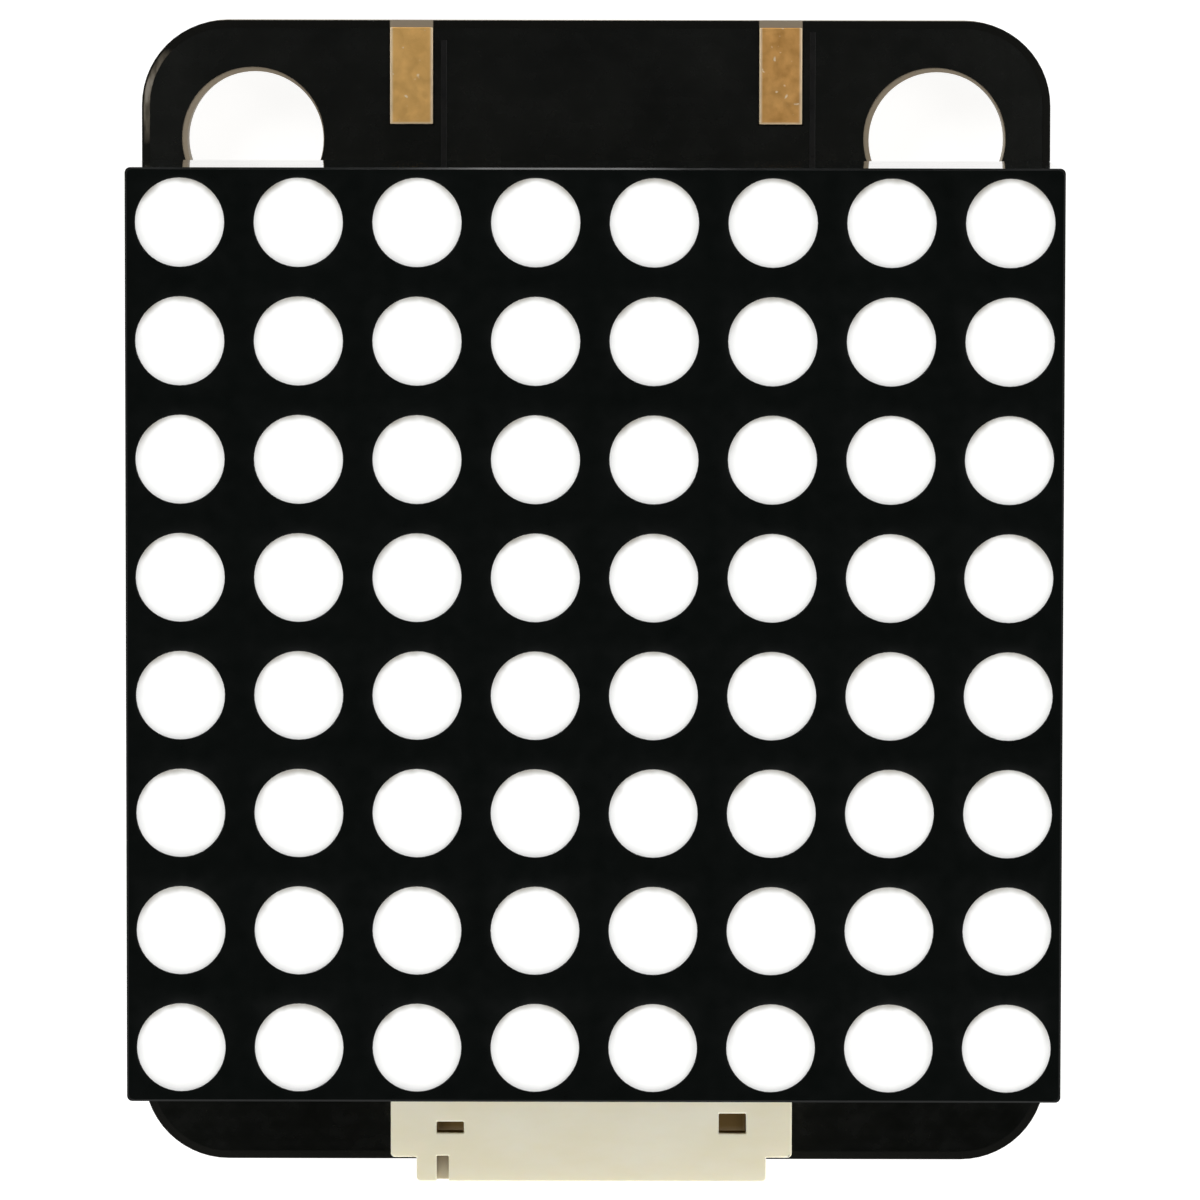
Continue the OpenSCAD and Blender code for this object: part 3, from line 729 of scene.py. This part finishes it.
def chip_lands():
    mid = box_mid("driver_leads")
    row_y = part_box("driver_leads")[1].y - mid.y - 0.2 * MM
    return [(mid.x + step, mid.y + side * row_y, *CHIP_LAND)
        for step in spaced(CHIP_LEADS, LEAD_PITCH) for side in (-1, 1)]


def header_lands():
    mid = box_mid("header_contacts")
    foot_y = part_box("header_contacts")[1].y - 0.8 * MM
    feet = [(mid.x + step, foot_y, *FOOT_LAND) for step in spaced(CONTACTS, CONTACT_PITCH)]
    tabs = [(box_mid(node).x + side * 0.6 * MM, box_mid(node).y, *TAB_LAND)
        for node, side in (("header_tab_left", -1), ("header_tab_right", 1))]
    return feet + tabs


def part_lands():
    """Pairs of lands under the resistors and both capacitors."""
    rows = [(mid, *SMALL_PAIR) for mid in resistor_mids()]
    rows += [(box_mid("bypass_ends"), *SMALL_PAIR), (box_mid("bulk_strips"), *BULK_PAIR)]
    return [(mid.x + side * apart, mid.y, width, length)
        for mid, apart, width, length in rows for side in (-1, 1)]


def laminate():
    """Glass laminate of the board, with its holes, between the two masks."""
    core = board_slab(BOARD_LO.z + MASK_T, BOARD_HI.z - MASK_T, 0)
    cut(core, mount_drills(MOUNT_R) + [drill(x, y, PIN_HOLE_R, 24) for x, y in pin_places()])
    finish(core, "laminate", glass_laminate())
    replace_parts(core, "carrier_board")


def mask(name, low, high, openings):
    """Sheet of solder mask, drawn back from the board's edge and from every land."""
    sheet = board_slab(low, high, MASK_INSET)
    cutters = mount_drills(MASK_MOUNT_R, MASK_SHIFT)
    cutters += [drill(x, y, RING_R + MASK_GAP, 32) for x, y in pin_places()]
    cutters += [punch(x, y, width + 2 * MASK_GAP, length + 2 * MASK_GAP)
        for x, y, width, length in openings]
    cut(sheet, cutters)
    return finish(sheet, name, FINISHES["mask"])


def edge_pad_openings():
    openings = []
    for node in ("edge_pad_left", "edge_pad_right"):
        lo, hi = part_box(node)
        openings.append(((lo.x + hi.x) / 2, (lo.y + BOARD_HI.y) / 2, hi.x - lo.x, BOARD_HI.y - lo.y))
    return openings


def land(x, y, width, length, low, high):
    bpy.ops.mesh.primitive_cube_add(size=1, location=(x, y, (low + high) / 2),
        scale=(width, length, high - low))
    piece = bpy.context.object
    bpy.ops.object.transform_apply(location=True, scale=True)
    bpy.ops.object.mode_set(mode="EDIT")
    pick("edges", lambda e: not near(e.verts[0].co.z, e.verts[1].co.z, MERGE))
    bpy.ops.mesh.bevel(offset=LAND_CORNER, segments=2, affect="EDGES")
    put_down()
    return piece


def ring(x, y, inner, outer, low, high):
    """Flat ring of plating round a hole."""
    bpy.ops.mesh.primitive_circle_add(vertices=32, radius=inner, location=(x, y, low))
    piece = bpy.context.object
    bpy.ops.object.transform_apply(location=True)
    bpy.ops.object.mode_set(mode="EDIT")
    bpy.ops.mesh.select_all(action="SELECT")
    extrude((0, 0, 0))
    scale((outer / inner, outer / inner, 1), (x, y, low))
    bpy.ops.mesh.select_all(action="SELECT")
    extrude((0, 0, high - low))
    bpy.ops.mesh.select_all(action="SELECT")
    bpy.ops.mesh.normals_make_consistent(inside=False)
    put_down()
    return piece


def lands():
    """Gold-plated lands and rings on both sides, level with the masks."""
    top = (BOARD_HI.z - MASK_T, BOARD_HI.z - LAND_SINK)
    under = (BOARD_LO.z + LAND_SINK, BOARD_LO.z + MASK_T)
    pieces = [land(*row, *top) for row in chip_lands() + header_lands() + part_lands()]
    for x, y in pin_places():
        pieces += [ring(x, y, PIN_HOLE_R, RING_R, *top), ring(x, y, PIN_HOLE_R, RING_R, *under)]
    finish(joined(pieces, "lands"), "lands", FINISHES["gold"])


def tracks(name, paths, width, low, high):
    """Flat tracks of copper under the mask, along paths of points in millimetres."""
    section = bpy.data.curves.new("track_section", "CURVE")
    section.dimensions = "2D"
    corners = ((-1, -1), (1, -1), (0.8, 1), (-0.8, 1))
    outline = section.splines.new("POLY")
    outline.points.add(len(corners) - 1)
    for point, (u, v) in zip(outline.points, corners):
        point.co = (u * width / 2, v * (high - low) / 2, 0, 1)
    outline.use_cyclic_u = True
    shape = bpy.data.objects.new("track_section", section)
    drawing = bpy.data.curves.new(name, "CURVE")
    drawing.dimensions = "3D"
    drawing.bevel_mode = "OBJECT"
    drawing.bevel_object = shape
    drawing.use_fill_caps = True
    for path in paths:
        line = drawing.splines.new("POLY")
        line.points.add(len(path) - 1)
        for point, (x, y) in zip(line.points, path):
            point.co = (x * MM, y * MM, (low + high) / 2, 1)
    piece = bpy.data.objects.new(name, drawing)
    bpy.context.collection.objects.link(piece)
    take(piece)
    bpy.ops.object.convert(target="MESH")
    bpy.data.objects.remove(shape)
    return finish(bpy.context.object, name, FINISHES["masked_copper"])


def tented_vias(name, places, base, up):
    """Plated holes closed by the mask: low rings with a dimple; up is 1 on the front, -1 behind."""
    pieces = []
    for x, y in places:
        at = (x * MM, y * MM, base)
        bpy.ops.mesh.primitive_circle_add(vertices=20, radius=VIA_R, fill_type="NGON", location=at)
        pieces.append(bpy.context.object)
        bpy.ops.object.transform_apply(location=True)
        bpy.ops.object.mode_set(mode="EDIT")
        bpy.ops.mesh.select_all(action="SELECT")
        extrude((0, 0, up * TRACK_RISE))
        for shrink, rise in ((0.88, 0.4), (0.5, 0), (0.72, -1.6)):
            extrude((0, 0, up * rise * TRACK_RISE))
            scale((shrink, shrink, 1), at)
        bpy.ops.mesh.select_all(action="SELECT")
        bpy.ops.mesh.normals_make_consistent(inside=False)
        put_down()
    finish(joined(pieces, name), name, FINISHES["masked_copper"], smooth=50)


def solder_ramp(x, y, size, turn):
    """Hollow ramp of solder that climbs a lead's end; turn is its heading in degrees."""
    bpy.ops.mesh.primitive_cube_add(size=1, location=(0, 0.5, 0.5))
    ramp = bpy.context.object
    bpy.ops.object.transform_apply(location=True)
    bpy.ops.object.mode_set(mode="EDIT")
    pick("edges", lambda e: near(middle(e).y, 1) and near(middle(e).z, 1))
    bpy.ops.transform.translate(value=(0, 0, -0.92))
    pick("edges", lambda e: near(middle(e).y, 0.5) and abs(middle(e).x) > 0.4 and middle(e).z > 0.2)
    bpy.ops.mesh.subdivide(number_cuts=2)
    pick("edges", lambda e: 0.1 < middle(e).y < 0.9 and abs(middle(e).x) < 0.1)
    bpy.ops.transform.translate(value=(0, 0, -0.16))
    pick("verts", lambda v: v.co.y > 0.2 and v.co.z > 0.02)
    bpy.ops.transform.resize(value=(0.82, 1, 1), center_override=(0, 0, 0))
    put_down()
    ramp.scale = size
    ramp.rotation_euler = (0, 0, math.radians(turn))
    ramp.location = (x, y, BOARD_HI.z - LAND_SINK)
    return ramp


def solder_ramps():
    """Solder at the toes of the chip, the feet of the header and the ends of the small parts."""
    ramps = []
    lo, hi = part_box("driver_leads")
    for step in spaced(CHIP_LEADS, LEAD_PITCH):
        for y, turn in ((hi.y, 0), (lo.y, 180)):
            ramps.append(solder_ramp((lo.x + hi.x) / 2 + step, y, LEAD_SOLDER, turn))
    lo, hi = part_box("header_contacts")
    for step in spaced(CONTACTS, CONTACT_PITCH):
        ramps.append(solder_ramp((lo.x + hi.x) / 2 + step, hi.y, FOOT_SOLDER, 0))
    for node, side in (("header_tab_left", -1), ("header_tab_right", 1)):
        lo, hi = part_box(node)
        x = hi.x if side > 0 else lo.x
        ramps.append(solder_ramp(x, (lo.y + hi.y) / 2, TAB_SOLDER, -90 * side))
    for mid, half, size in end_places():
        for side in (-1, 1):
            ramps.append(solder_ramp(mid.x + side * half, mid.y, size, -90 * side))
    finish(joined(ramps, "solder_ramps"), "solder_ramps", FINISHES["solder"], smooth=60)


def end_places():
    """Middle, half length and solder of the resistors and capacitors."""
    bulk_lo, bulk_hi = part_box("bulk_strips")
    rows = [(mid, 0.8 * MM, SMALL_SOLDER) for mid in resistor_mids()]
    rows.append((box_mid("bypass_ends"), 0.8 * MM, BYPASS_SOLDER))
    rows.append((box_mid("bulk_strips"), (bulk_hi.x - bulk_lo.x) / 2, BULK_SOLDER))
    return rows


# ---- Header, chip and small parts ----

def softened(node, name, edge, finish_of, steps=2, angle=40):
    """A copy of a solid with its sharp edges rounded, which stands for it."""
    put_down()
    piece = bpy.data.objects.new(name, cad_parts[node].data.copy())
    bpy.context.collection.objects.link(piece)
    take(piece)
    bpy.ops.object.mode_set(mode="EDIT")
    bpy.ops.mesh.select_all(action="SELECT")
    bpy.ops.mesh.remove_doubles(threshold=MERGE)
    bpy.ops.mesh.dissolve_limited(angle_limit=math.radians(0.5))
    put_down()
    rounding = piece.modifiers.new("rounding", "BEVEL")
    rounding.width = edge
    rounding.segments = steps
    rounding.limit_method = "ANGLE"
    rounding.angle_limit = math.radians(angle)
    rounding.harden_normals = False
    apply_modifiers(piece)
    finish(piece, name, finish_of, smooth=35)
    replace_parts(piece, node)
    return piece


def coat(node, material):
    """Gives a solid that stays its finish."""
    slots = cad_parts[node].data.materials
    slots.clear()
    slots.append(material)


# ---- Studio ----

def floor():
    """Large pale floor that glows a little, so that no shadow is deep."""
    put_down()
    bpy.ops.mesh.primitive_circle_add(vertices=96, radius=4, fill_type="NGON", location=(0, 0, 0))
    ground = bpy.context.object
    ground.name = "floor"
    f = Finish("floor_white", Roughness=0.9, Specular_IOR_Level=0.1,
        Emission_Color=(1, 0.995, 0.985, 1), Emission_Strength=0.9)
    f.feed(f.blend(f.noise(60), (0.30, 0.30, 0.30), (0.34, 0.34, 0.34)), "Base Color")
    ground.data.materials.append(f.material)


def soft_box(name, at, size, power):
    """Soft light, as an oblong panel that faces the display."""
    lamp = bpy.data.lights.new(name, "AREA")
    lamp.shape = "RECTANGLE"
    lamp.size, lamp.size_y = size
    lamp.energy = power
    box = bpy.data.objects.new(name, lamp)
    box.location = at
    box.rotation_euler = (SHELL_MID - Vector(at)).to_track_quat("-Z", "Y").to_euler()
    bpy.context.collection.objects.link(box)


def sky():
    """Bright walls round the studio and a dark ceiling, so that the face stays black."""
    world = bpy.data.worlds.new("studio")
    bpy.context.scene.world = world
    world.use_nodes = True
    nodes, links = world.node_tree.nodes, world.node_tree.links
    place = nodes.new("ShaderNodeTexCoord")
    split = nodes.new("ShaderNodeSeparateXYZ")
    ramp = nodes.new("ShaderNodeValToRGB")
    links.new(place.outputs["Generated"], split.inputs[0])
    links.new(split.outputs["Z"], ramp.inputs[0])
    links.new(ramp.outputs["Color"], nodes["Background"].inputs["Color"])
    ramp.color_ramp.elements[0].position = 0.0
    ramp.color_ramp.elements[0].color = (0.95, 0.95, 0.95, 1)
    ramp.color_ramp.elements[1].position = 1.0
    ramp.color_ramp.elements[1].color = (0.02, 0.02, 0.02, 1)
    for height, grey in ((0.35, 0.85), (0.7, 0.06)):
        ramp.color_ramp.elements.new(height).color = (grey, grey, grey, 1)


def camera():
    """Long lens straight above the display, a little towards the edge with the holes."""
    lens = bpy.data.cameras.new("camera")
    lens.lens = 261.9
    lens.sensor_width = 36
    lens.clip_start = 0.01
    lens.clip_end = 20
    eye = bpy.data.objects.new("camera", lens)
    eye.location = Vector((0.617, 24.736, 310.26)) * MM
    forward = Vector((-0.00146, -0.08093, -0.99672)).normalized()
    up = Vector((-0.00179, 0.99672, -0.08092))
    right = forward.cross(up).normalized()
    eye.rotation_euler = Matrix((right, right.cross(forward), -forward)).transposed().to_euler()
    bpy.context.collection.objects.link(eye)
    bpy.context.scene.camera = eye


# ---- Tracks and closed holes, as points in millimetres ----

def both_sides(paths):
    """Each path, and after it its mirror image on the right."""
    return [[(side * x, y) for x, y in path] for path in paths for side in (1, -1)]


FRONT_TRACKS = [
    [(-5.36, 19.5), (-5.36, 13.2), (-5.715, 12.8), (-5.715, 9.2)],
    [(7.62, 19.8), (7.62, 13.2), (6.985, 12.4), (6.985, 6.5)],
] + both_sides([
    [(-8.255, 6.4), (-8.255, 6.9), (-9.845, 8.49), (-12, 8.49)],
    [(-8.255, -4.6), (-8.255, -5.3), (-9.7, -6.75), (-12, -6.75)],
    [(-6.985, -4.6), (-6.985, -6.2), (-10.07, -9.29), (-12, -9.29)],
    [(-12, -4.21), (-10.3, -4.21), (-8.2, -2.1), (-6.8, -2.1)],
    [(-12, -1.67), (-10, -1.67), (-9.1, -0.77), (-5.4, -0.77)],
    [(-12, 0.87), (-4.2, 0.87)],
    [(-12, 3.41), (-10.6, 3.41), (-9.4, 2.21), (-5.4, 2.21)],
    [(-12, 5.95), (-10.6, 5.95), (-9.2, 4.55), (-9.2, 3.5), (-6.8, 3.5)],
]) + [
    [(-1.1, -10.6), (-1.1, -9), (-2.2, -7.9), (-2.2, -7.5)],
    [(0.9, -10.6), (0.9, -9), (0.75, -8.6), (0.75, -7.5)],
    [(-2.25, -7.2), (-3.175, -6.2), (-3.175, -4.6)],
    [(2.25, -7.2), (1.905, -6.2), (1.905, -4.6)],
]
POWER_TRACKS = [
    [(-3.1, -10.6), (-3.1, -8.6), (-4.445, -7.2), (-4.445, -4.6)],
    [(2.9, -10.6), (2.9, -8.9), (4.445, -7.4), (4.445, -4.6)],
    [(-4.445, 6.4), (-4.445, 7.4), (-4.7, 7.65)],
    [(4.445, 6.4), (4.445, 8), (3.9, 8.65)],
    [(7.2, 8.65), (9, 10.4), (9, 12.6)],
]
BACK_TRACKS = both_sides([
    [(-12, 8.49), (-9.6, 8.49), (-6.8, 5.7), (-6.8, 3.5)],
    [(-12, -6.75), (-9.6, -6.75), (-6.8, -3.95), (-6.8, -2.1)],
]) + [
    [(-5.4, -0.77), (-3.2, -2.97), (3.2, -2.97), (5.4, -0.77)],
    [(-5.4, 2.21), (-3.2, 4.41), (3.2, 4.41), (5.4, 2.21)],
    [(-4.2, 0.87), (-1.4, 0.87)],
    [(4.2, 0.87), (1.4, 0.87), (-1, 3.3)],
    [(-12, 12.2), (-4, 12.2), (-2, 10.2), (-2, 6.4), (-1, 5.4)],
]
PAIRED_VIAS = [(-6.8, -2.1), (-5.4, -0.77), (-4.2, 0.87), (-5.4, 2.21), (-6.8, 3.5)]
FRONT_VIAS = [(side * x, y) for x, y in PAIRED_VIAS for side in (1, -1)] + [(9, 12.9)]
BACK_VIAS = FRONT_VIAS + [(-1.4, 0.87), (-1, 5.4), (-1, 3.3)]


# ---- The scene ----

camera()
floor()
sky()
soft_box("key", (-0.42, 0.46, 0.48), (0.4, 0.4), 3.5)
soft_box("fill", (0.5, 0.05, 0.42), (0.4, 0.5), 1.8)
soft_box("front", (-0.05, -0.55, 0.44), (0.5, 0.4), 3.4)
soft_box("rim", (-0.005, 0.6, 0.04), (0.02, 0.06), 0.06)
bpy.context.scene.view_settings.view_transform = "Standard"

FINISHES = {
    "mask": solder_mask(),
    "masked_copper": masked_copper(),
    "gold": gold_plate("gold_plate"),
    "pad_gold": gold_plate("pad_gold", pads=True),
    "solder": metal("solder", (0.55, 0.56, 0.57), (0.70, 0.71, 0.72), (0.2, 0.34), (0.3, 0.006)),
    "tin": metal("lead_tin", (0.56, 0.57, 0.58), (0.68, 0.69, 0.70), (0.36, 0.5), (0.06, 0.003)),
    "wire": metal("tinned_wire", (0.60, 0.60, 0.59), (0.74, 0.74, 0.73), (0.24, 0.38), (0.1, 0.003)),
    "contact": metal("contact_wire", (0.58, 0.55, 0.46), (0.72, 0.69, 0.60), (0.25, 0.4),
        (0.12, 0.003)),
    "ceramic": plain_finish("capacitor_ceramic", (0.30, 0.19, 0.09), (0.38, 0.25, 0.13), 0.5,
        (0.35, 0.5), (0.05, 0.002)),
    "die_board": plain_finish("die_board", (0.50, 0.52, 0.38), (0.60, 0.62, 0.48), 1.5, (0.5, 0.65),
        (0.1, 0.004)),
    "die": plain_finish("die", (0.45, 0.38, 0.18), (0.56, 0.48, 0.26), 0.15, (0.3, 0.45)),
    "seal": plain_finish("seal_resin", (0.50, 0.46, 0.34), (0.62, 0.58, 0.46), 3.0, (0.16, 0.28),
        (1.5, 0.05), IOR=1.5),
}

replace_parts(display_shell(), "reflector_shell")
cast_dots()
laminate()
openings = chip_lands() + header_lands() + part_lands() + edge_pad_openings()
mask("mask_front", BOARD_HI.z - MASK_T, BOARD_HI.z, openings)
mask("mask_back", BOARD_LO.z, BOARD_LO.z + MASK_T, [])
lands()
front = (BOARD_HI.z - TRACK_SINK, BOARD_HI.z + TRACK_RISE)
back = (BOARD_LO.z - TRACK_RISE, BOARD_LO.z + TRACK_SINK)
tracks("tracks_front", FRONT_TRACKS, 0.22 * MM, *front)
tracks("power_tracks", POWER_TRACKS, 0.6 * MM, *front)
tracks("tracks_back", BACK_TRACKS, 0.25 * MM, *back)
tented_vias("vias_front", FRONT_VIAS, BOARD_HI.z, 1)
tented_vias("vias_back", BACK_VIAS, BOARD_LO.z, -1)
solder_ramps()

softened("header_shell", "header_housing", 0.07 * MM, header_nylon(), steps=3)
softened("driver_chip", "chip_body", 0.05 * MM, chip_black(), angle=25)
softened("bulk_capacitor", "bulk_body", 0.05 * MM, tantalum_black(), angle=25)
softened("pull_up_resistors", "resistor_bodies", 0.02 * MM, resistor_glaze())
softened("bypass_capacitor", "bypass_body", 0.04 * MM, FINISHES["ceramic"])
for node, name in (("edge_pad_left", "gold_pad_left"), ("edge_pad_right", "gold_pad_right")):
    softened(node, name, 0.03 * MM, FINISHES["pad_gold"])

coat("die_board", FINISHES["die_board"])
coat("led_dies", FINISHES["die"])
coat("back_seal", FINISHES["seal"])
for node in ("pins_left", "pins_right"):
    coat(node, FINISHES["wire"])
for node in ("solder_left", "solder_right"):
    coat(node, FINISHES["solder"])
for node in ("driver_leads", "header_tab_left", "header_tab_right", "pull_up_ends", "bypass_ends",
        "bulk_strips"):
    coat(node, FINISHES["tin"])
coat("header_contacts", FINISHES["contact"])
